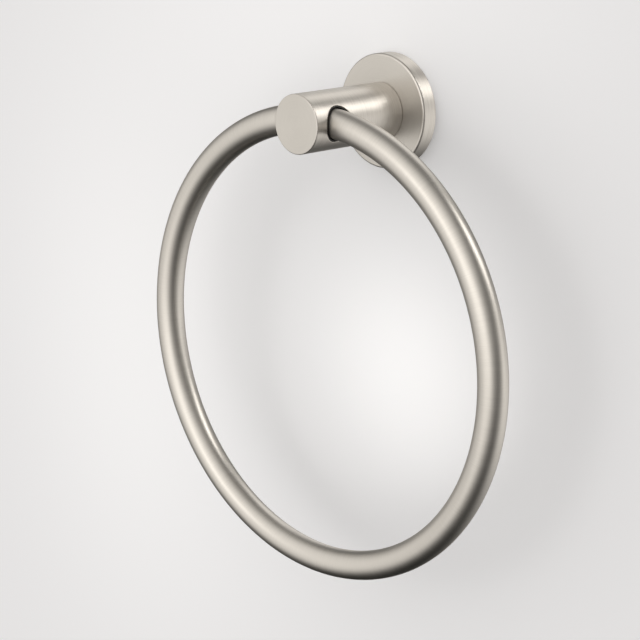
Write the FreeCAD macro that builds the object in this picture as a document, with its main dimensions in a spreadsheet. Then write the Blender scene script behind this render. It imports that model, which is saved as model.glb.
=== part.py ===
import FreeCAD, Part
import os
import Sketcher

# Towel ring for a wall: a round rose, a straight post and a swinging ring of bent bar.
# Millimetres. The origin is the centre of the rose's back, on the wall.
# +Z is up, and the post stands out from the wall along -Y.

Vec = FreeCAD.Vector
Turn = FreeCAD.Rotation
doc = FreeCAD.newDocument("TowelRing")

# Driving dimensions

sizes = [
    ("rose_dia", 50.0, "outside of the rose"),
    ("rose_depth", 7.4, "rose, wall to front face"),
    ("rose_rim_wall", 2.5, "wall of the rose's rim"),
    ("rose_face_wall", 2.5, "thickness of the rose's front"),
    ("rose_edge_break", 0.9, "chamfer of the rose's front edge"),
    ("post_dia", 25.4, "outside of the post"),
    ("projection", 59.0, "wall to the post's front face"),
    ("post_front_break", 0.4, "chamfer of the post's front edge"),
    ("post_back_break", 0.3, "chamfer of the post's edge on the rose"),
    ("ring_radius", 98.2, "ring, centre to the bar's centreline"),
    ("ring_bar_dia", 12.7, "round section of the ring"),
    ("ring_setback", 13.2, "post's front face to the ring's plane"),
    ("ring_rise_share", 0.6, "share of the ring's bow in the post that lies above the bore's axis"),
    ("ring_end_gap", 4.2, "space between the ring's two ends, inside the post"),
    ("pin_dia", 6.0, "dowel pin that joins the ring's ends"),
    ("pin_length", 24.0, "length of that pin"),
    ("pin_end_room", 0.5, "hole in each end of the ring, past the pin"),
    ("bush_wall", 0.65, "wall of a bush"),
    ("bush_clearance", 0.1, "running clearance of the ring in a bush"),
    ("bush_length", 6.4, "length of a bush along the bore"),
    ("bush_setback", 0.3, "bush's end below the post's surface"),
    ("thread_dia", 6.0, "thread along the post's axis"),
    ("dog_dia", 3.4, "dog point of the screw that keeps the ring"),
    ("dog_clearance", 0.4, "dog point to the pin"),
    ("keeper_length", 8.0, "threaded length of the screw that keeps the ring"),
    ("keeper_inset", 0.3, "threaded end of that screw, short of the bore"),
    ("keeper_socket", 3.0, "hexagon socket of that screw, across flats"),
    ("keeper_socket_depth", 3.0, "depth of that socket"),
    ("post_screw_length", 16.0, "screw through the rose, under its head"),
    ("post_screw_head_dia", 11.5, "head of that screw"),
    ("post_screw_head", 2.6, "height of that head"),
    ("post_screw_break", 0.6, "chamfer of that head's edge"),
    ("post_screw_socket", 4.0, "hexagon socket of that head, across flats"),
    ("post_screw_socket_depth", 1.6, "depth of that socket"),
    ("screw_hole_clearance", 0.2, "screw in the rose's hole, all round"),
    ("washer_dia", 11.0, "outside of the lock washer"),
    ("washer_thick", 1.2, "thickness of the lock washer"),
    ("washer_split", 1.2, "split of the lock washer"),
    ("bracket_clearance", 0.25, "bracket in the rose's rim, all round"),
    ("bracket_thick", 4.4, "thickness of the wall bracket"),
    ("bracket_bevel", 2.0, "how far the bracket's edge slopes in towards the wall"),
    ("bracket_bore_dia", 16.0, "opening of the bracket round the screw's head"),
    ("wall_hole_dia", 4.6, "hole for a wall screw"),
    ("wall_hole_sink_dia", 9.0, "countersink for a wall screw"),
    ("wall_hole_pitch", 29.0, "between the two wall screws"),
    ("grub_dia", 3.0, "grub screw in the rose's rim"),
    ("grub_from_wall", 3.0, "wall to the grub screw's axis"),
    ("grub_inset", 0.4, "grub screw's end below the rim's surface"),
    ("grub_point_dia", 1.0, "flat of the grub screw's point"),
    ("grub_point_gap", 0.1, "point to the bracket's bevel"),
    ("grub_socket", 1.5, "hexagon socket of the grub screw, across flats"),
    ("grub_socket_depth", 1.2, "depth of that socket"),
]
sheet = doc.addObject("Spreadsheet::Sheet", "Sizes")
for row, (name, number, note) in enumerate(sizes, 1):
    sheet.set("A%d" % row, name)
    sheet.set("B%d" % row, str(number))
    sheet.set("C%d" % row, note)
    sheet.setAlias("B%d" % row, name)
doc.recompute()

# Sizes that follow from the driving ones, as expressions on the sheet's cells

roseRadius = "Sizes.rose_dia / 2"
rimInside = "(Sizes.rose_dia / 2 - Sizes.rose_rim_wall)"
roseFloor = "(Sizes.rose_depth - Sizes.rose_face_wall)"
postRadius = "(Sizes.post_dia / 2)"
ringSection = "(Sizes.ring_bar_dia / 2)"
threadRadius = "(Sizes.thread_dia / 2)"
boreFromWall = "(Sizes.projection - Sizes.ring_setback)"

# The ring is straight enough to turn in a straight bore: its bow over the post's width
# is shared between the middle, which lies above the bore's axis, and the two mouths.
ringBow = "(Sizes.ring_radius - sqrt(Sizes.ring_radius ^ 2 - (Sizes.post_dia / 2) ^ 2))"
ringRise = "(Sizes.ring_rise_share * %s)" % ringBow
bushInside = "(%s + %s + Sizes.bush_clearance)" % (ringSection, ringRise)
boreRadius = "(%s + Sizes.bush_wall)" % bushInside

# The dog point stops short of the pin's widest sweep as the ring swings.
pinSweep = "(Sizes.pin_dia / 2 + %s)" % ringRise
dogTip = "(%s - %s - Sizes.dog_clearance)" % (boreFromWall, pinSweep)
keeperEnd = "(%s - %s - Sizes.keeper_inset)" % (boreFromWall, boreRadius)
keeperStart = "(%s - Sizes.keeper_length)" % keeperEnd

headSeat = "(%s - Sizes.washer_thick)" % roseFloor
bracketRadius = "(%s - Sizes.bracket_clearance)" % rimInside
bevelAtGrub = (
    "(%s - Sizes.bracket_bevel * (1 - (Sizes.grub_from_wall + Sizes.grub_point_dia / 2)"
    " / Sizes.bracket_thick))" % bracketRadius
)
grubTip = "(%s + Sizes.grub_point_gap)" % bevelAtGrub


# Shared steps of modelling

def measure(expression):
    found = sheet.evalExpression(expression)
    return float(getattr(found, "Value", found))


def newBody(label):
    body = doc.addObject("PartDesign::Body", label)
    body.Label = label
    return body


def sketchOn(body, name, plane="XY_Plane", offset=None):
    sketch = body.newObject("Sketcher::SketchObject", name)
    support = [item for item in body.Origin.OriginFeatures if item.Role == plane][0]
    sketch.AttachmentSupport = [(support, "")]
    sketch.MapMode = "FlatFace"
    if offset:
        sketch.setExpression("AttachmentOffset.Base.z", offset)
    return sketch


# Each size in a sketch is measured from the sketch's origin and bound to the sheet.
def pin(sketch, kind, piece, end, expression):
    if expression == "0":
        axis = -2 if kind == "DistanceX" else -1
        sketch.addConstraint(Sketcher.Constraint("PointOnObject", piece, end, axis))
        return
    length = measure(expression)
    index = sketch.addConstraint(Sketcher.Constraint(kind, -1, 1, piece, end, length))
    sketch.setExpression("Constraints[%d]" % index, expression)


def outline(sketch, corners):
    spots = [Vec(measure(across), measure(up), 0) for across, up in corners]
    count = len(corners)
    for i in range(count):
        sketch.addGeometry(Part.LineSegment(spots[i], spots[(i + 1) % count]))
    for i in range(count):
        sketch.addConstraint(Sketcher.Constraint("Coincident", i, 2, (i + 1) % count, 1))
    for i, (across, up) in enumerate(corners):
        pin(sketch, "DistanceX", i, 1, across)
        pin(sketch, "DistanceY", i, 1, up)
    return sketch


def circle(sketch, radius, across="0", up="0"):
    middle = Vec(measure(across), measure(up), 0)
    index = sketch.addGeometry(Part.Circle(middle, Vec(0, 0, 1), measure(radius)))
    size = sketch.addConstraint(Sketcher.Constraint("Radius", index, measure(radius)))
    sketch.setExpression("Constraints[%d]" % size, radius)
    if across == "0" and up == "0":
        sketch.addConstraint(Sketcher.Constraint("Coincident", index, 3, -1, 1))
        return sketch
    pin(sketch, "DistanceX", index, 3, across)
    pin(sketch, "DistanceY", index, 3, up)
    return sketch


def hexagon(sketch, acrossFlats):
    corner = "%s / sqrt(3)" % acrossFlats
    spots = [(corner, "0")]
    for angle in (60, 120):
        spots.append(("%s * cos(%d)" % (corner, angle), "%s * sin(%d)" % (corner, angle)))
    spots.append(("-" + corner, "0"))
    for angle in (240, 300):
        spots.append(("%s * cos(%d)" % (corner, angle), "%s * sin(%d)" % (corner, angle)))
    return outline(sketch, spots)


def turned(body, name, sketch, axis="V_Axis", angle=None, kind="Revolution"):
    feature = body.newObject("PartDesign::" + kind, name)
    feature.Profile = (sketch, [""])
    feature.ReferenceAxis = (sketch, [axis])
    feature.Angle = 360
    if angle:
        feature.Midplane = True
        feature.setExpression("Angle", angle)
    doc.recompute()
    return feature


# A cut that removes nothing points away from the solid, so its direction is tried.
def cut(body, name, sketch, depth=None, reverse=False, middle=False):
    before = body.Shape.Volume
    feature = body.newObject("PartDesign::Pocket", name)
    feature.Profile = (sketch, [""])
    feature.Reversed = reverse
    feature.Midplane = middle
    if depth:
        feature.setExpression("Length", depth)
    else:
        feature.Type = "ThroughAll"
    doc.recompute()
    if feature.Shape.Volume > before - 1e-6:
        raise ValueError(name + " removes nothing")
    return feature


# Edges are found by their place: whole circles about the Y axis at one depth and radius.
def roundEdges(feature, radius, depth):
    found = []
    for i, edge in enumerate(feature.Shape.Edges, 1):
        curve = edge.Curve
        if not hasattr(curve, "Radius"):
            continue
        if abs(curve.Radius - radius) < 1e-4 and abs(curve.Center.y + depth) < 1e-4:
            found.append("Edge%d" % i)
    if not found:
        raise ValueError("no edge of radius %.2f at depth %.2f" % (radius, depth))
    return found


def chamfer(body, name, edges, size):
    base = body.Tip
    feature = body.newObject("PartDesign::Chamfer", name)
    feature.Base = (base, edges)
    feature.setExpression("Size", size)
    doc.recompute()
    return feature


# Rose: a shallow turned cup, open to the wall, with the post's screw through its face

def makeRose():
    body = newBody("rose")
    hole = "(%s + Sizes.screw_hole_clearance)" % threadRadius
    profile = outline(sketchOn(body, "RoseProfile"), [
        (hole, "-Sizes.rose_depth"),
        (roseRadius, "-Sizes.rose_depth"),
        (roseRadius, "0"),
        (rimInside, "0"),
        (rimInside, "-" + roseFloor),
        (hole, "-" + roseFloor),
    ])
    cup = turned(body, "RoseCup", profile)
    radius = measure(roseRadius)
    front = roundEdges(cup, radius, measure("Sizes.rose_depth"))
    chamfer(body, "RoseEdge", front, "Sizes.rose_edge_break")
    side = sketchOn(body, "GrubHole")
    circle(side, "Sizes.grub_dia / 2", "0", "-Sizes.grub_from_wall")
    cut(body, "GrubThread", side, roseRadius)
    return body


# Wall bracket: a disc whose edge slopes in towards the wall, so that the rose's grub
# screw draws the rose back, with two countersunk holes for the wall screws

def makeBracket():
    body = newBody("wall_bracket")
    bore = "Sizes.bracket_bore_dia / 2"
    profile = outline(sketchOn(body, "BracketProfile"), [
        (bore, "0"),
        (bore, "-Sizes.bracket_thick"),
        (bracketRadius, "-Sizes.bracket_thick"),
        ("(%s - Sizes.bracket_bevel)" % bracketRadius, "0"),
    ])
    turned(body, "BracketDisc", profile)
    seat = sketchOn(body, "WallHoleSeat", "XZ_Plane", "Sizes.bracket_thick")
    circle(seat, "Sizes.wall_hole_dia / 2", "Sizes.wall_hole_pitch / 2", "0")
    doc.recompute()
    before = body.Shape.Volume
    hole = body.newObject("PartDesign::Hole", "WallHole")
    hole.Profile = (seat, [""])
    hole.DepthType = "ThroughAll"
    hole.HoleCutType = "Countersink"
    hole.HoleCutCustomValues = True
    hole.HoleCutCountersinkAngle = 90
    hole.setExpression("Diameter", "Sizes.wall_hole_dia")
    hole.setExpression("HoleCutDiameter", "Sizes.wall_hole_sink_dia")
    doc.recompute()
    other = body.newObject("PartDesign::Mirrored", "OtherWallHole")
    other.Originals = [hole]
    plane = [item for item in body.Origin.OriginFeatures if item.Role == "YZ_Plane"][0]
    other.MirrorPlane = (plane, [""])
    body.Tip = other
    doc.recompute()
    if hole.Shape.Volume > before - 1 or other.Shape.Volume > hole.Shape.Volume - 1:
        raise ValueError("a wall hole removes nothing")
    return body


# Post: turned bar, tapped along its axis from behind and bored across for the ring

def makePost():
    body = newBody("post")
    length = "Sizes.projection - Sizes.rose_depth"
    bar = body.newObject("PartDesign::Pad", "PostBar")
    bar.Profile = (circle(sketchOn(body, "PostSection", "XZ_Plane", "Sizes.rose_depth"), postRadius), [""])
    bar.setExpression("Length", length)
    doc.recompute()
    radius = measure(postRadius)
    front = roundEdges(bar, radius, measure("Sizes.projection"))
    eased = chamfer(body, "PostFront", front, "Sizes.post_front_break")
    back = roundEdges(eased, radius, measure("Sizes.rose_depth"))
    chamfer(body, "PostBack", back, "Sizes.post_back_break")
    tap = circle(sketchOn(body, "ThreadCircle", "XZ_Plane", "Sizes.rose_depth"), threadRadius)
    cut(body, "PostThread", tap, "%s - Sizes.rose_depth" % boreFromWall, True)
    across = circle(sketchOn(body, "BoreCircle", "YZ_Plane"), boreRadius, "-" + boreFromWall, "0")
    cut(body, "CrossBore", across, middle=True)
    return body


# Screw through the rose's face into the post, with a low round head and a hexagon socket

def makePostScrew():
    body = newBody("post_screw")
    headRadius = "Sizes.post_screw_head_dia / 2"
    headBack = "(%s - Sizes.post_screw_head)" % headSeat
    profile = outline(sketchOn(body, "ScrewProfile"), [
        ("0", "-" + headBack),
        (headRadius, "-" + headBack),
        (headRadius, "-" + headSeat),
        (threadRadius, "-" + headSeat),
        (threadRadius, "-(%s + Sizes.post_screw_length)" % headSeat),
        ("0", "-(%s + Sizes.post_screw_length)" % headSeat),
    ])
    blank = turned(body, "ScrewBlank", profile)
    edge = roundEdges(blank, measure(headRadius), measure(headBack))
    chamfer(body, "HeadBreak", edge, "Sizes.post_screw_break")
    socket = hexagon(sketchOn(body, "SocketHexagon", "XZ_Plane", headBack), "Sizes.post_screw_socket")
    cut(body, "Socket", socket, "Sizes.post_screw_socket_depth", True)
    return body


# Split lock washer under that screw's head

def makeWasher():
    body = newBody("lock_washer")
    profile = outline(sketchOn(body, "WasherProfile"), [
        (threadRadius + " + Sizes.screw_hole_clearance / 2", "-" + headSeat),
        ("Sizes.washer_dia / 2", "-" + headSeat),
        ("Sizes.washer_dia / 2", "-" + roseFloor),
        (threadRadius + " + Sizes.screw_hole_clearance / 2", "-" + roseFloor),
    ])
    open = "360 deg - 2 * asin(Sizes.washer_split / Sizes.washer_dia)"
    turned(body, "WasherRing", profile, angle=open)
    return body


# Dog-point screw in the post's thread: its point stands between the ring's two ends,
# so that the ring swings but neither slides round nor comes out

def makeKeeper():
    body = newBody("ring_keeper_screw")
    dogRadius = "Sizes.dog_dia / 2"
    profile = outline(sketchOn(body, "KeeperProfile"), [
        ("0", "-" + keeperStart),
        (threadRadius, "-" + keeperStart),
        (threadRadius, "-" + keeperEnd),
        (dogRadius, "-" + keeperEnd),
        (dogRadius, "-" + dogTip),
        ("0", "-" + dogTip),
    ])
    turned(body, "KeeperBlank", profile)
    socket = hexagon(sketchOn(body, "SocketHexagon", "XZ_Plane", keeperStart), "Sizes.keeper_socket")
    cut(body, "Socket", socket, "Sizes.keeper_socket_depth", True)
    return body


# Grub screw in the underside of the rose's rim, modelled about Y and turned to point up

def makeGrub():
    body = newBody("rose_grub_screw")
    radius = "Sizes.grub_dia / 2"
    outer = "(%s - Sizes.grub_inset)" % roseRadius
    taper = "(%s + %s - Sizes.grub_point_dia / 2)" % (grubTip, radius)
    profile = outline(sketchOn(body, "GrubProfile"), [
        ("0", "-" + outer),
        (radius, "-" + outer),
        (radius, "-" + taper),
        ("Sizes.grub_point_dia / 2", "-" + grubTip),
        ("0", "-" + grubTip),
    ])
    turned(body, "GrubBlank", profile)
    socket = hexagon(sketchOn(body, "SocketHexagon", "XZ_Plane", outer), "Sizes.grub_socket")
    cut(body, "Socket", socket, "Sizes.grub_socket_depth", False)
    body.Placement = FreeCAD.Placement(Vec(0, 0, 0), Turn(Vec(1, 0, 0), 90))
    body.setExpression("Placement.Base.y", "-Sizes.grub_from_wall")
    return body


# Bush: a thin sleeve in one mouth of the cross bore, trimmed to the post's round side

def makeBush(label, angle):
    body = newBody(label)
    mouth = "(%s - Sizes.bush_setback)" % postRadius
    sleeve = outline(sketchOn(body, "BushSection"), [
        ("%s - Sizes.bush_length" % mouth, bushInside),
        (mouth, bushInside),
        (mouth, boreRadius),
        ("%s - Sizes.bush_length" % mouth, boreRadius),
    ])
    turned(body, "BushSleeve", sleeve, "H_Axis")
    whole = body.Shape.Volume
    trim = outline(sketchOn(body, "TrimSection"), [
        (mouth, "-Sizes.post_dia"),
        ("Sizes.post_dia", "-Sizes.post_dia"),
        ("Sizes.post_dia", "Sizes.post_dia"),
        (mouth, "Sizes.post_dia"),
    ])
    turned(body, "BushTrim", trim, kind="Groove")
    if body.Shape.Volume > whole - 1:
        raise ValueError("the bush isn't trimmed")
    body.Placement = FreeCAD.Placement(Vec(0, 0, 0), Turn(Vec(0, 1, 0), angle))
    body.setExpression("Placement.Base.y", "-" + boreFromWall)
    return body


# The ring and its pin are modelled about the ring's own centre, with the ring's ends
# towards -X, and turned so that the ends are at the top.

def placeOnRing(body):
    body.Placement = FreeCAD.Placement(Vec(0, 0, 0), Turn(Vec(0, 1, 0), 90))
    body.setExpression("Placement.Base.y", "-" + boreFromWall)
    body.setExpression("Placement.Base.z", "%s - Sizes.ring_radius" % ringRise)


# Ring: round bar bent to a full circle, its two ends a little apart inside the post and
# drilled for the pin

def makeRing():
    body = newBody("ring")
    section = circle(sketchOn(body, "BarSection"), ringSection, "Sizes.ring_radius", "0")
    gap = "2 * asin(Sizes.ring_end_gap / 2 / Sizes.ring_radius)"
    turned(body, "BentBar", section, angle="360 deg - " + gap)
    hole = circle(sketchOn(body, "PinHoleCircle"), "Sizes.pin_dia / 2", "-Sizes.ring_radius", "0")
    cut(body, "PinHoles", hole, "Sizes.pin_length + 2 * Sizes.pin_end_room", middle=True)
    placeOnRing(body)
    return body


# Dowel pin: joins the ring's two ends, and its bare middle lies between them

def makePin():
    body = newBody("ring_joint_pin")
    rod = body.newObject("PartDesign::Pad", "PinRod")
    section = circle(sketchOn(body, "PinSection"), "Sizes.pin_dia / 2", "-Sizes.ring_radius", "0")
    rod.Profile = (section, [""])
    rod.Midplane = True
    rod.setExpression("Length", "Sizes.pin_length")
    doc.recompute()
    placeOnRing(body)
    return body


nodes = [
    makeBracket(),
    makeRose(),
    makeGrub(),
    makeWasher(),
    makePostScrew(),
    makePost(),
    makeKeeper(),
    makeBush("bush_right", 0),
    makeBush("bush_left", 180),
    makeRing(),
    makePin(),
]
doc.recompute()

for item in doc.Objects:
    if "Invalid" in item.State or "Error" in item.State:
        raise ValueError(item.Name + " failed to recompute")
for node in nodes:
    if node.Shape.isNull() or not node.Shape.isValid() or len(node.Shape.Solids) != 1:
        raise ValueError(node.Label + " is not one valid solid")

os.makedirs("parts", exist_ok=True)
for node in nodes:
    node.Shape.exportStep("parts/%s.step" % node.Label)
    box = node.Shape.BoundBox
    place = "x %.2f %.2f  y %.2f %.2f  z %.2f %.2f"
    reach = place % (box.XMin, box.XMax, box.YMin, box.YMax, box.ZMin, box.ZMax)
    print("%-18s %10.2f mm3  %s" % (node.Label, node.Shape.Volume, reach))
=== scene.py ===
import math

import bmesh
import bpy
import numpy as np
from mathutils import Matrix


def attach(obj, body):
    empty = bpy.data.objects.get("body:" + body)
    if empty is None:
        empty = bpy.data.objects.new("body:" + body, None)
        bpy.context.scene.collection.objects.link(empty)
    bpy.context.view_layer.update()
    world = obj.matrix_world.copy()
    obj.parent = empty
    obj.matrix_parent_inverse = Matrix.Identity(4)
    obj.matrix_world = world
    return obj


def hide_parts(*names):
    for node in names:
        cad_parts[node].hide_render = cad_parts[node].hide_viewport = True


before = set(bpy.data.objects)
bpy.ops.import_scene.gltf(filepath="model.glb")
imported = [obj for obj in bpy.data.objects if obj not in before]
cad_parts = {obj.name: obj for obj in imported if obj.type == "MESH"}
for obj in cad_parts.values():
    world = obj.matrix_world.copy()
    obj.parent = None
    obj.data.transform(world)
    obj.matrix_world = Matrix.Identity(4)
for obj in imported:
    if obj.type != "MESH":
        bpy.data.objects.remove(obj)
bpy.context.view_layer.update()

# Towel ring in satin nickel: rose, post and a ring of bent bar. Blender 4.5, metres.
# The sizes below are millimetres, as in the drawing, and mm turns them to metres.

mm = 0.001
tau = 2 * math.pi
wallMount = "wall_mount"
swingingRing = "swinging_ring"
brushing = "Brushing"       # UV map in millimetres: U runs across the brush lines, V along them


# Colours and nodes

def colour(code):
    # sRGB hex to linear: up to 0.04045 divide by 12.92, above it the 2.4 power
    parts = [int(code[i:i + 2], 16) / 255 for i in (1, 3, 5)]
    return [p / 12.92 if p <= 0.04045 else ((p + 0.055) / 1.055) ** 2.4 for p in parts] + [1.0]


def addNode(tree, kind, inputs=None, **settings):
    # One node with its settings. An input is a value, another node's socket, or a node,
    # which means that node's first output.
    node = tree.nodes.new(kind)
    for key, value in settings.items():
        setattr(node, key, value)
    for key, value in (inputs or {}).items():
        if isinstance(value, bpy.types.Node):
            value = value.outputs[0]
        if isinstance(value, bpy.types.NodeSocket):
            tree.links.new(value, node.inputs[key])
        else:
            node.inputs[key].default_value = value
    return node


def newMaterial(name):
    material = bpy.data.materials.new(name)
    material.use_nodes = True
    material.node_tree.nodes.clear()
    return material, material.node_tree


def output(tree, shader):
    addNode(tree, "ShaderNodeOutputMaterial", {"Surface": shader})


# Meshes

def quads(numbers):
    # The four corners of each cell of a grid of point numbers
    corners = [numbers[:-1, :-1], numbers[:-1, 1:], numbers[1:, 1:], numbers[1:, :-1]]
    return np.stack(corners, axis=-1)


def zipLoops(first, second, firstAngle, secondAngle):
    # Joins two rings of points of unlike count: all points in order of angle, and each
    # makes one triangle with the last point seen on either ring.
    a, b = np.argsort(firstAngle), np.argsort(secondAngle)
    first, second = first[a], second[b]
    angles = np.concatenate([firstAngle[a], secondAngle[b]])
    onFirst = np.concatenate([np.ones(len(a), bool), np.zeros(len(b), bool)])
    onFirst = onFirst[np.argsort(angles, kind="stable")]
    i = np.cumsum(onFirst) - 1
    j = np.cumsum(~onFirst) - 1
    previousI = np.where(onFirst, i - 1, i) % len(first)
    previousJ = np.where(onFirst, j, j - 1) % len(second)
    new = np.where(onFirst, first[i % len(first)], second[j % len(second)])
    return np.stack([first[previousI], second[previousJ], new], axis=-1)


class Shell:
    # Collects points, their UVs and faces from several surfaces, then welds them

    def __init__(self):
        self.points, self.flat, self.faces, self.count = [], [], [], 0

    def add(self, points, flat):
        # Adds a grid of points with their UVs and returns the grid of their numbers
        numbers = self.count + np.arange(points[..., 0].size).reshape(points.shape[:-1])
        self.points.append(points.reshape(-1, 3))
        self.flat.append(flat.reshape(-1, 2))
        self.count += numbers.size
        return numbers

    def join(self, faces):
        self.faces += faces.reshape(-1, faces.shape[-1]).tolist()

    def piece(self, name, materials, body, slotName, *nodes):
        # Of two materials, the second is for the flat faces across the Y axis
        mesh = bpy.data.meshes.new(name)
        mesh.from_pydata(np.concatenate(self.points) * mm, [], self.faces)
        corner = np.empty(len(mesh.loops), int)
        mesh.loops.foreach_get("vertex_index", corner)
        layer = mesh.uv_layers.new(name=brushing)
        layer.data.foreach_set("uv", np.concatenate(self.flat)[corner].ravel())
        work = bmesh.new()
        work.from_mesh(mesh)
        bmesh.ops.remove_doubles(work, verts=work.verts, dist=0.0005 * mm)
        bmesh.ops.recalc_face_normals(work, faces=work.faces)
        work.to_mesh(mesh)
        work.free()
        mesh.shade_smooth()
        mesh.set_sharp_from_angle(angle=math.radians(40))
        for material in materials:
            mesh.materials.append(material)
        if len(materials) > 1:
            across = [abs(p.normal.y) > 0.999 for p in mesh.polygons]
            mesh.polygons.foreach_set("material_index", across)
        made = bpy.data.objects.new(name, mesh)
        bpy.context.scene.collection.objects.link(made)
        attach(made, body)
        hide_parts(*nodes)
        edges = np.array([loop.edge_index for loop in mesh.loops])
        openEdges = int((np.bincount(edges, minlength=len(mesh.edges)) != 2).sum())
        print("made", name, len(mesh.polygons), "faces,", openEdges, "open edges")
        return made


def arc(centre, radius, start, end, steps):
    # Points of a circle's arc in the (radius, y) plane of a turned profile, degrees
    a = np.radians(np.linspace(start, end, steps + 1))
    return [(centre[0] + radius * c, centre[1] + radius * s) for c, s in zip(np.cos(a), np.sin(a))]


def blockSteps(half, cells):
    # Steps from -half to half, spaced as the tangent, so that lines from the middle of a
    # square block of cells meet the points of its outline at even angles
    return half * np.tan(np.radians(np.linspace(-45, 45, cells + 1)))


def around(columns, holes, half, cells):
    # Angles of the columns of a turned piece, with a block of cells round each drilled
    # hole's angle and even columns between the blocks
    angles = []
    for hole, following in zip(holes, holes[1:] + [holes[0] + tau]):
        gap = following - hole - 2 * half
        angles += list(hole + blockSteps(half, cells))
        angles += list(np.linspace(hole + half, hole + half + gap, int(columns * gap / tau) + 2)[1:-1])
    return np.array(angles + [holes[0] - half + tau])


def turned(shell, profile, angles, radius):
    # A profile of (r, y) carried round the Y axis: x = r cos a, z = r sin a. The brush
    # lines go round with it. Returns the point numbers and the travel along the profile.
    travel = np.concatenate([[0], np.cumsum(np.hypot(*np.diff(profile, axis=0).T))])
    r, y = profile[:, :1], profile[:, 1:]
    points = np.stack([r * np.cos(angles), y + 0 * angles, r * np.sin(angles)], axis=-1)
    flat = np.stack([travel[:, None] + 0 * angles, radius * angles + 0 * y], axis=-1)
    return shell.add(points, flat), travel


def strip(shell, loops):
    # Quads between rings of points of the same count, each ring closed
    shell.join(quads(np.stack([np.append(loop, loop[0]) for loop in loops])))


def drill(shell, skin, hole, row, column, cells, rings):
    # The wall round a drilled hole, on a cylinder round the Y axis. The patch goes from
    # the outline of a block of cells to the hole's rim, straight in (angle, y), and lies
    # on the cylinder. Returns the rim's points and their angles round the hole.
    side = np.arange(cells)
    rowsOut = row + np.concatenate([0 * side, side, cells + 0 * side, cells - side])
    columnsOut = column + np.concatenate([side, cells + 0 * side, cells - side, 0 * side])
    radius = skin["radius"]
    a0, y0 = skin["angles"][columnsOut], skin["y"][rowsOut]
    turn = np.arctan2(radius * (a0 - hole["angle"]), y0 - hole["y"])
    a1 = hole["angle"] + np.arcsin(hole["radius"] * np.sin(turn) / radius)
    y1 = hole["y"] + hole["radius"] * np.cos(turn)
    t = np.linspace(0, 1, rings + 1)[1:, None]
    a, y = a0 + (a1 - a0) * t, y0 + (y1 - y0) * t
    points = np.stack([radius * np.cos(a), y, radius * np.sin(a)], axis=-1)
    loops = shell.add(points, np.stack([y + skin["shift"], radius * a], axis=-1))
    strip(shell, [skin["numbers"][rowsOut, columnsOut], *loops])
    return loops[-1], turn


# Materials of the nickel pieces

nickelLook = {
    "dark": "#C7C2BC", "light": "#DBD7D1",      # nickel, slightly warm, between its brush lines
    "roughness": 0.37, "roughnessSpread": 0.02,
    "anisotropy": 0.2,          # a highlight runs out a little across the brush lines
    "lineWidth": 0.45,          # mm; real brush lines are about 0.05, too fine to show
    "lineLength": 14.0,
    "lineDepth": 0.0002,        # mm, height of the brush lines in the bump
    "patchSize": 22.0,          # mm, slight clouding of the lacquer
}


def brushedNickel(name, **changes):
    # Satin nickel: nickel plate on brass, belt-brushed and lacquered. A warm grey metal
    # with wide soft highlights and fine lines round the turned pieces.
    look = dict(nickelLook, **changes)
    material, tree = newMaterial(name)
    uv = addNode(tree, "ShaderNodeUVMap", uv_map=brushing)
    stretched = addNode(tree, "ShaderNodeMapping", {
        "Vector": uv, "Scale": (1 / look["lineWidth"], 1 / look["lineLength"], 1)})
    lines = addNode(tree, "ShaderNodeTexNoise", {
        "Vector": stretched, "Scale": 1.0, "Detail": 3.0, "Roughness": 0.65})
    where = addNode(tree, "ShaderNodeTexCoord").outputs["Object"]
    clouds = addNode(tree, "ShaderNodeTexNoise", {
        "Vector": where, "Scale": 1 / (look["patchSize"] * mm), "Detail": 2.0})
    mixed = addNode(tree, "ShaderNodeMath", {0: lines, 1: clouds}, operation="ADD")
    middle, spread = look["roughness"], look["roughnessSpread"]
    rough = addNode(tree, "ShaderNodeMapRange", {
        "Value": mixed, "From Min": 0.7, "From Max": 1.3,
        "To Min": middle - spread, "To Max": middle + spread})
    tone = addNode(tree, "ShaderNodeValToRGB", {"Fac": lines})
    for stop, position, code in zip(tone.color_ramp.elements, (0.3, 0.7), (look["dark"], look["light"])):
        stop.position, stop.color = position, colour(code)
    bump = addNode(tree, "ShaderNodeBump", {
        "Height": lines, "Strength": 1.0, "Distance": look["lineDepth"] * mm})
    output(tree, addNode(tree, "ShaderNodeBsdfPrincipled", {
        "Base Color": tone, "Metallic": 1.0, "Roughness": rough,
        "Anisotropic": look["anisotropy"], "Normal": bump,
        "Tangent": addNode(tree, "ShaderNodeTangent", direction_type="UV_MAP", uv_map=brushing)}))
    return material


# The turned sides show their lines most, the flat faces and the bent bar hardly at all
turnedNickel = brushedNickel("satin_nickel_turned")
faceNickel = brushedNickel(
    "satin_nickel_face", dark="#CFCBC5", light="#D3CFC9", lineDepth=0.00002, roughnessSpread=0.01)
barNickel = brushedNickel(
    "satin_nickel_bar", dark="#CECAC4", light="#D6D2CC", roughness=0.39, lineDepth=0.00005)


# Ring: round bar bent to a circle, its two ends a little apart inside the post

ring = {
    "radius": 98.2, "bar": 12.7, "endGap": 4.2, "setback": 45.8,
    "rise": 0.495,      # the bow's top over the bore's axis
    "pinHole": 6.0, "pinHoleLength": 25.0,
    "steps": 560, "around": 72,
}


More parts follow.
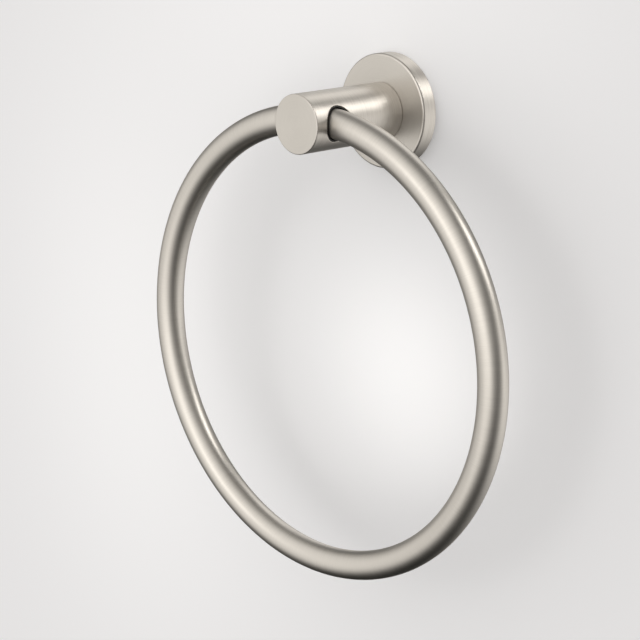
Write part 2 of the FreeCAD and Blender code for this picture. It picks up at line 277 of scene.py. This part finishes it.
def makeRing():
    # Torus: the centreline is radius R in the plane y = -setback, and the section is a
    # circle of radius r, p = (R + r cos b) (sin a, cos a) with depth r sin b. Each end is
    # a flat face with the pin's hole, which runs straight along X.
    R, r = ring["radius"], ring["bar"] / 2
    start = math.asin(ring["endGap"] / 2 / R)
    a = np.linspace(start, tau - start, ring["steps"] + 1)[:, None]
    b = np.linspace(-math.pi, math.pi, ring["around"] + 1)[None, :] + math.pi
    centre = -(R - ring["rise"])
    out = R + r * np.cos(b) + 0 * a
    depth = -ring["setback"] + r * np.sin(b) + 0 * a
    bar = np.stack([out * np.sin(a), depth, centre + out * np.cos(a)], axis=-1)
    pin = ring["pinHole"] / 2

    def endRows(side):
        # The hole's mouth, its far edge and the middle of its floor
        up, deep = ring["rise"] + pin * np.cos(b[0]), -ring["setback"] + pin * np.sin(b[0])
        mouth = side * (up - centre) * math.tan(start)
        far = np.full_like(up, side * ring["pinHoleLength"] / 2)
        middle = np.stack([far, 0 * far - ring["setback"], 0 * far + ring["rise"]], axis=-1)
        return [np.stack([x, deep, up], axis=-1) for x in (mouth, far)] + [middle]

    points = np.array(endRows(1)[::-1] + list(bar) + endRows(-1))
    # travel along the bar, which goes on over each end's face and into its hole
    endTravel = np.array([4, 18, 30])
    travel = np.concatenate([-endTravel[::-1], a[:, 0] * R, tau * R + endTravel])
    flat = np.stack([travel[:, None] + 0 * b, r * b + 0 * travel[:, None]], axis=-1)
    shell = Shell()
    shell.join(quads(shell.add(points, flat)))
    return shell.piece("ring_bar", [barNickel], swingingRing, "satin_nickel", "ring")


makeRing()


# Post: a turned bar with a cross bore for the ring and a thread from behind

post = {
    "radius": 12.7, "front": 59.0, "back": 7.4, "frontRound": 0.45, "backBreak": 0.3,
    "boreY": -45.8, "boreRadius": 7.595, "mouthRound": 0.22, "threadRadius": 3.0,
    "columns": 200, "cells": 20, "block": 9.6,      # block is half the patch round a mouth
    # rows of points along the bore, as shares of half its length
    "boreStops": (0.75, 0.55, 0.4, 0.2, 0.0, -0.2, -0.4, -0.55, -0.75),
    "threadRows": (3, 7), "threadCells": 7,         # cells of the bore that the thread opens into
}


def makePost():
    # Turned profile (r, y) carried round the Y axis. Each mouth of the cross bore is a
    # patch on the cylinder: a rim point at angle f has y = y0 + r cos f and z = s, with
    # s = r sin f and x = sqrt(R^2 - s^2). The bore's wall joins the two rims.
    R, f, k = post["radius"], post["frontRound"], post["backBreak"]
    y0, cells, half = post["boreY"], post["cells"], post["block"]
    front, back = -post["front"], -post["back"]
    # Rows close to a round or a chamfer hold the flat shading beside it
    face = [(r, front) for r in (0, 3, 6, 9, 11, R - f - 0.3, R - f - 0.08)]
    turn = arc((R - f, front + f), f, -90, 0, 6)
    block = y0 + blockSteps(half, cells)
    walls = [front + f + 0.08, front + f + 0.3] + list(np.linspace(front + 1.6, block[0], 4)[:-1])
    firstRow = len(face) + len(turn) + len(walls)
    tail = list(np.linspace(block[-1], back - 1.5, 22)[1:]) + [back - k - 0.3, back - k - 0.05, back - k]
    foot = [(r, back) for r in (R - k, R - k - 0.3, 8, post["threadRadius"])]
    profile = np.array(face + turn + [(R, y) for y in walls + list(block) + tail] + foot)
    angles = around(post["columns"], [0.0, math.pi], half / R, cells)
    # the first mouth's block starts at the first column, the second's half a turn on
    second = int(np.argmin(abs(angles - (math.pi - half / R))))
    shell = Shell()
    numbers, travel = turned(shell, profile, angles, R)
    keep = np.ones((len(profile) - 1, len(angles) - 1), bool)
    for column in (0, second):
        keep[firstRow:firstRow + cells, column:column + cells] = False
    shell.join(quads(numbers)[keep])
    shift = travel[firstRow] - block[0]
    skin = {"numbers": numbers, "y": profile[:, 1], "angles": angles, "radius": R, "shift": shift}
    mouths = []
    e, rb = post["mouthRound"], post["boreRadius"]
    for column, angle in ((0, 0.0), (second, math.pi)):
        hole = {"angle": angle, "y": y0, "radius": rb + e}
        rim, rimTurn = drill(shell, skin, hole, firstRow, column, cells, 8)
        loops = [rim]
        side = math.cos(angle)
        for t in np.linspace(0, math.pi / 2, 5)[1:]:
            # quarter turn from the cylinder's skin into the bore
            reach = rb + e * (1 - math.sin(t))
            depth = e * (1 - math.cos(t))
            s = reach * np.sin(rimTurn)
            x = np.sqrt(R ** 2 - s ** 2) - depth
            points = np.stack([side * x, y0 + reach * np.cos(rimTurn), side * s], axis=-1)
            flat = np.stack([points[:, 1] + shift, R * angle + s - depth], axis=-1)
            loops.append(shell.add(points, flat))
        strip(shell, loops)
        mouths.append((loops[-1], rimTurn))
    # Bore wall: straight lines from one rim to the other, at the same place round the bore
    (rightLoop, rightTurn), (leftLoop, leftTurn) = mouths
    order = np.argsort(np.arctan2(rb * np.sin(rightTurn), rb * np.cos(rightTurn)))
    other = np.argsort(np.arctan2(-rb * np.sin(leftTurn), rb * np.cos(leftTurn)))
    t = rightTurn[order]
    z, y = rb * np.sin(t), y0 + rb * np.cos(t)
    stops = np.array(post["boreStops"])[:, None]
    x = stops * (np.sqrt(R ** 2 - z ** 2) - e)
    points = np.stack([x, y + 0 * stops, z + 0 * stops], axis=-1)
    bore = shell.add(points, np.stack([x + 40, rb * t + 0 * x], axis=-1))
    bore = np.concatenate([rightLoop[order][None], bore, leftLoop[other][None]])
    bore = np.concatenate([bore, bore[:, :1]], axis=1)
    # The thread's hole comes in from +Y, near t = 0
    top, bottom = post["threadRows"]
    left, right = len(t) // 2 - post["threadCells"], len(t) // 2 + post["threadCells"]
    keep = np.ones((bore.shape[0] - 1, bore.shape[1] - 1), bool)
    keep[top:bottom, left:right] = False
    shell.join(quads(bore)[keep])
    outline = np.concatenate([
        bore[top, left:right + 1], bore[top + 1:bottom, right],
        bore[bottom, left:right + 1], bore[top + 1:bottom, left]])
    place = np.concatenate(shell.points)[outline]
    thread, v = post["threadRadius"], angles[:-1]
    s = thread * np.sin(v)
    points = np.stack([thread * np.cos(v), y0 + np.sqrt(rb ** 2 - s ** 2), s], axis=-1)
    rim = shell.add(points, np.stack([points[:, 1] + 90, thread * v], axis=-1))
    strip(shell, [numbers[-1, :-1], rim])
    shell.join(zipLoops(outline, rim, np.arctan2(place[:, 2], place[:, 0]) % tau, v % tau))
    return shell.piece("post_turned", [turnedNickel, faceNickel], wallMount, "satin_nickel", "post")


makePost()


# Rose: a turned cup with a rounded front edge

rose = {
    "radius": 25.0, "depth": 7.4, "rimWall": 2.5, "faceWall": 2.5, "frontRound": 1.0,
    "hole": 3.2, "grubRadius": 1.5, "grubY": -3.0,
    "columns": 288, "cells": 8, "block": 1.75,      # block is half the patch round the grub's hole
}


def makeRose():
    # Turned profile (r, y) from the screw's hole over the face, the rounded edge, the
    # rim, its foot on the wall, and back inside the cup. The grub screw's hole goes
    # through the rim from below.
    R, f, front = rose["radius"], rose["frontRound"], -rose["depth"]
    inner, floor, hole = R - rose["rimWall"], front + rose["faceWall"], rose["hole"]
    cells, half = rose["cells"], rose["block"]
    block = list(rose["grubY"] + blockSteps(half, cells))
    face = [(r, front) for r in (hole, 7, 12, *np.linspace(13, R - f - 0.5, 8), R - f - 0.08)]
    turn = arc((R - f, front + f), f, -90, 0, 8)
    outer = [front + f + 0.08, front + f + 0.4]
    foot = [-0.35, -0.08]
    outside = face + turn + [(R, y) for y in outer + block + foot + [0]]
    inside = [(inner, y) for y in [0] + foot[::-1] + block[::-1]]
    cup = [(inner, floor), (12, floor), (hole, floor), (hole, front)]
    firstOuter = len(face) + len(turn) + len(outer)
    firstInner = len(outside) + 1 + len(foot)
    profile = np.array(outside + inside + cup)
    angles = around(rose["columns"], [-math.pi / 2], half / R, cells)
    shell = Shell()
    numbers, travel = turned(shell, profile, angles, R)
    keep = np.ones((len(profile) - 1, len(angles) - 1), bool)
    keep[firstOuter:firstOuter + cells, :cells] = False
    keep[firstInner:firstInner + cells, :cells] = False
    shell.join(quads(numbers)[keep])
    grub = {"angle": -math.pi / 2, "y": rose["grubY"], "radius": rose["grubRadius"]}
    ends = []
    for radius, row in ((R, firstOuter), (inner, firstInner)):
        skin = {"numbers": numbers, "y": profile[:, 1], "angles": angles, "radius": radius,
                "shift": travel[row] - profile[row, 1]}
        ends.append(drill(shell, skin, grub, row, 0, cells, 2))
    (outerRim, outerTurn), (innerRim, innerTurn) = ends
    shell.join(zipLoops(outerRim, innerRim, outerTurn % tau, innerTurn % tau))
    return shell.piece("rose_turned", [turnedNickel, faceNickel], wallMount, "satin_nickel", "rose")


makeRose()


# Carried-over CAD nodes: bushes, screws, pin, washer and bracket

def plainMetal(name, base, roughness, grain, depth):
    # Steel or zinc with fine turning or rolling marks, on Object coordinates. The marks
    # are a little darker and lighter than the base.
    material, tree = newMaterial(name)
    where = addNode(tree, "ShaderNodeTexCoord").outputs["Object"]
    marks = addNode(tree, "ShaderNodeTexNoise", {
        "Vector": where, "Scale": 1 / (grain * mm), "Detail": 4.0})
    rough = addNode(tree, "ShaderNodeMapRange", {
        "Value": marks, "To Min": roughness - 0.08, "To Max": roughness + 0.08})
    ramp = addNode(tree, "ShaderNodeValToRGB", {"Fac": marks})
    for stop, share in zip(ramp.color_ramp.elements, (0.82, 1.12)):
        stop.color = [min(1, c * share) for c in colour(base)[:3]] + [1]
    bump = addNode(tree, "ShaderNodeBump", {"Height": marks, "Strength": 1.0, "Distance": depth * mm})
    output(tree, addNode(tree, "ShaderNodeBsdfPrincipled", {
        "Base Color": ramp, "Metallic": 1.0, "Roughness": rough, "Normal": bump}))
    return material


def mouldedNylon():
    # Black nylon 66, injection moulded: almost black, matt, with the mould's fine spark texture
    material, tree = newMaterial("black_nylon_moulded")
    where = addNode(tree, "ShaderNodeTexCoord").outputs["Object"]
    spark = addNode(tree, "ShaderNodeTexNoise", {
        "Vector": where, "Scale": 1 / (0.5 * mm), "Detail": 3.0})
    ramp = addNode(tree, "ShaderNodeValToRGB", {"Fac": spark})
    for stop, code in zip(ramp.color_ramp.elements, ("#161512", "#2A2824")):
        stop.color = colour(code)
    rough = addNode(tree, "ShaderNodeMapRange", {"Value": spark, "To Min": 0.5, "To Max": 0.68})
    bump = addNode(tree, "ShaderNodeBump", {"Height": spark, "Strength": 0.5, "Distance": 0.01 * mm})
    output(tree, addNode(tree, "ShaderNodeBsdfPrincipled", {
        "Base Color": ramp, "Roughness": rough, "IOR": 1.53, "Normal": bump}))
    return material


# Grain and depth of the marks in millimetres
steel = plainMetal("steel_turned_oiled", "#9C9A96", roughness=0.34, grain=0.6, depth=0.004)
zinc = plainMetal("zinc_plated_dull", "#C4C6C8", roughness=0.46, grain=1.5, depth=0.006)
nylon = mouldedNylon()
finishes = {
    "bush_left": nylon, "bush_right": nylon, "wall_bracket": zinc,
    "ring_joint_pin": steel, "ring_keeper_screw": steel, "post_screw": steel,
    "lock_washer": steel, "rose_grub_screw": steel,
}
for node, material in finishes.items():
    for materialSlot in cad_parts[node].material_slots:
        materialSlot.material = material
print("finished the carried-over nodes")


# Stage: the wall, the backdrop and the studio's light, in metres

wall = {
    "left": -1.2, "right": 1.2, "bottom": -1.1, "top": 1.1, "behind": 0.0002,
    "colour": "#F0F1F5", "paintedPoolColour": "#FFFFFC",
    "peelSize": 0.004, "peelDepth": 0.00002,
    # painted pools of light, which glow in the wall's paint and come from no lamp: x and z of the
    # centre, reach in x and z, strength
    "pools": [
        (-0.040, 0.048, 0.099, 0.046, 0.082),
        (0.008, -0.113, 0.037, 0.038, 0.176),
        (-0.179, -0.143, 0.078, 0.114, 0.118),
    ],
}


def stagePiece(name, points, faces, material):
    mesh = bpy.data.meshes.new(name)
    mesh.from_pydata(points, [], faces)
    mesh.materials.append(material)
    made = bpy.data.objects.new(name, mesh)
    bpy.context.scene.collection.objects.link(made)
    return made


def makeWall():
    # A pale wall just behind the rose: matt white paint, rolled, with a faint orange peel, and painted
    # pools of light that glow in the paint.
    #  Its back is clear, so that the rear can be seen.
    material, tree = newMaterial("painted_wall")
    where = addNode(tree, "ShaderNodeTexCoord").outputs["Object"]
    peel = addNode(tree, "ShaderNodeTexNoise", {
        "Vector": where, "Scale": 1 / wall["peelSize"], "Detail": 2.0})
    bump = addNode(tree, "ShaderNodeBump", {
        "Height": peel, "Strength": 0.1, "Distance": wall["peelDepth"]})
    paint = addNode(tree, "ShaderNodeBsdfDiffuse", {"Color": colour(wall["colour"]), "Normal": bump})
    clear = addNode(tree, "ShaderNodeBsdfTransparent")
    back = addNode(tree, "ShaderNodeNewGeometry").outputs["Backfacing"]
    # painted pools of light, as emission in the paint: a pool falls off as exp(-r^2 / 2), r being the
    # distance over its reach
    total = 0.0
    for x, z, reachX, reachZ, strength in wall["pools"]:
        middle, reach = (x, 0, z), (reachX, 1, reachZ)
        offset = addNode(tree, "ShaderNodeVectorMath", {0: where, 1: middle}, operation="SUBTRACT")
        scaled = addNode(tree, "ShaderNodeVectorMath", {0: offset, 1: reach}, operation="DIVIDE")
        squared = addNode(tree, "ShaderNodeVectorMath", {0: scaled, 1: scaled}, operation="DOT_PRODUCT")
        halved = addNode(tree, "ShaderNodeMath", {
            0: squared.outputs["Value"], 1: -0.5}, operation="MULTIPLY")
        fall = addNode(tree, "ShaderNodeMath", {0: halved}, operation="EXPONENT")
        total = addNode(tree, "ShaderNodeMath", {
            0: fall, 1: strength, 2: total}, operation="MULTIPLY_ADD")
    # painted light: the pools' glow is added to the paint
    glow = addNode(tree, "ShaderNodeEmission", {"Color": colour(wall["paintedPoolColour"]), "Strength": total})
    front = addNode(tree, "ShaderNodeAddShader", {0: paint, 1: glow})
    output(tree, addNode(tree, "ShaderNodeMixShader", {0: back, 1: front, 2: clear}))
    material.cycles.emission_sampling = "NONE"      # the painted pools glow too faintly to light the object
    corners = [(wall[x], wall["behind"], wall[z]) for x, z in (
        ("left", "bottom"), ("right", "bottom"), ("right", "top"), ("left", "top"))]
    made = stagePiece("wall", corners, [(0, 1, 2, 3)], material)
    # The metal mirrors the studio's pools of light, also those behind the wall, and not the
    # wall, as in the photograph. The wall still takes the ring's shadow.
    made.visible_glossy = False
    made.visible_shadow = False


makeWall()

# Pale backdrop all round, which views from the side and from behind look at
backdrop = {"radius": 8.0, "colour": "#E2E2E4", "rows": 16, "columns": 32}


def makeBackdrop():
    # Sphere of radius R: p = R (cos e cos a, cos e sin a, sin e)
    e = np.linspace(-math.pi / 2, math.pi / 2, backdrop["rows"] + 1)[:, None]
    a = np.linspace(0, tau, backdrop["columns"] + 1)[None, :]
    sphere = [np.cos(e) * np.cos(a), np.cos(e) * np.sin(a), np.sin(e) + 0 * a]
    points = backdrop["radius"] * np.stack(sphere, axis=-1).reshape(-1, 3)
    faces = quads(np.arange(len(points)).reshape(e.size, a.size)).reshape(-1, 4)
    material, tree = newMaterial("backdrop_paper")
    paper = {"Color": colour(backdrop["colour"]), "Strength": 1.0}
    output(tree, addNode(tree, "ShaderNodeEmission", paper))
    material.cycles.emission_sampling = "NONE"
    made = stagePiece("backdrop", points, faces.tolist(), material)
    # It sends no light to the object: the dome below does that, and the metal mirrors it
    for kind in ("diffuse", "glossy", "transmission", "volume_scatter", "shadow"):
        setattr(made, "visible_" + kind, False)


makeBackdrop()

# Studio dome: soft pools of white light on a dark ground. Each has the azimuth and
# elevation of its centre in degrees (0 is in front, 90 to the right, 180 behind),
# a tightness and a strength.
dome = {
    "frontFill": (5, 29, 5, 1.20),
    "front": (-15, 14, 109, 1.59),
    "rightFront": (16, -3, 31, 1.05),
    "leftFrontLow": (-21, -24, 23, 0.85),
    "leftSide": (-64, -7, 23, 0.74),
    "leftSideHigh": (-67, 36, 16, 0.68),
    "leftSideRear": (-116, -10, 45, 0.43),
    "leftRear": (-141, 12, 120, 1.30),
    "leftRearLow": (-148, -19, 54, 0.37),
    "leftRearHigh": (-161, 40, 39, 1.62),
    "rear": (167, -17, 21, 0.90),
    "rightRear": (125, 2, 47, 0.95),
    "rightRearLow": (124, -25, 18, 0.88),
    "rightRearSpot": (142, 24, 220, 4.50),
    "rightRearHighSpot": (134, 40, 240, 9.10),
}


def makeDome():
    # Brightness in a direction d is the sum of strength * ((1 + d . c) / 2) ^ tightness,
    # where c points at the centre of each pool
    world = bpy.data.worlds.new("studio")
    bpy.context.scene.world = world
    world.use_nodes = True
    tree = world.node_tree
    tree.nodes.clear()
    toward = addNode(tree, "ShaderNodeTexCoord").outputs["Generated"]
    total = 0.0
    for azimuth, elevation, tightness, strength in dome.values():
        a, e = math.radians(azimuth), math.radians(elevation)
        centre = (math.sin(a) * math.cos(e), -math.cos(a) * math.cos(e), math.sin(e))
        dot = addNode(tree, "ShaderNodeVectorMath", {0: toward, 1: centre}, operation="DOT_PRODUCT")
        near = addNode(tree, "ShaderNodeMath", {
            0: dot.outputs["Value"], 1: 0.5, 2: 0.5}, operation="MULTIPLY_ADD")
        near = addNode(tree, "ShaderNodeMath", {0: near, 1: tightness}, operation="POWER")
        total = addNode(tree, "ShaderNodeMath", {
            0: near, 1: strength, 2: total}, operation="MULTIPLY_ADD")
    light = addNode(tree, "ShaderNodeBackground", {"Color": colour("#FFFCF7"), "Strength": total})
    addNode(tree, "ShaderNodeOutputWorld", {"Surface": light})


makeDome()

# Camera, fitted to the photograph: azimuth 45, elevation 15
eye = {"place": (0.55496, -0.59981, 0.12366), "turn": (75, 0, 45), "lens": 105.82, "sensor": 36.0}
camera = bpy.data.cameras.new("camera")
camera.lens = eye["lens"]
camera.sensor_width = eye["sensor"]
cameraObject = bpy.data.objects.new("camera", camera)
cameraObject.location = eye["place"]
cameraObject.rotation_euler = [math.radians(t) for t in eye["turn"]]
bpy.context.scene.collection.objects.link(cameraObject)
bpy.context.scene.camera = cameraObject
bpy.context.scene.view_settings.view_transform = "Standard"
print("set up the wall, the backdrop, the light and the camera")
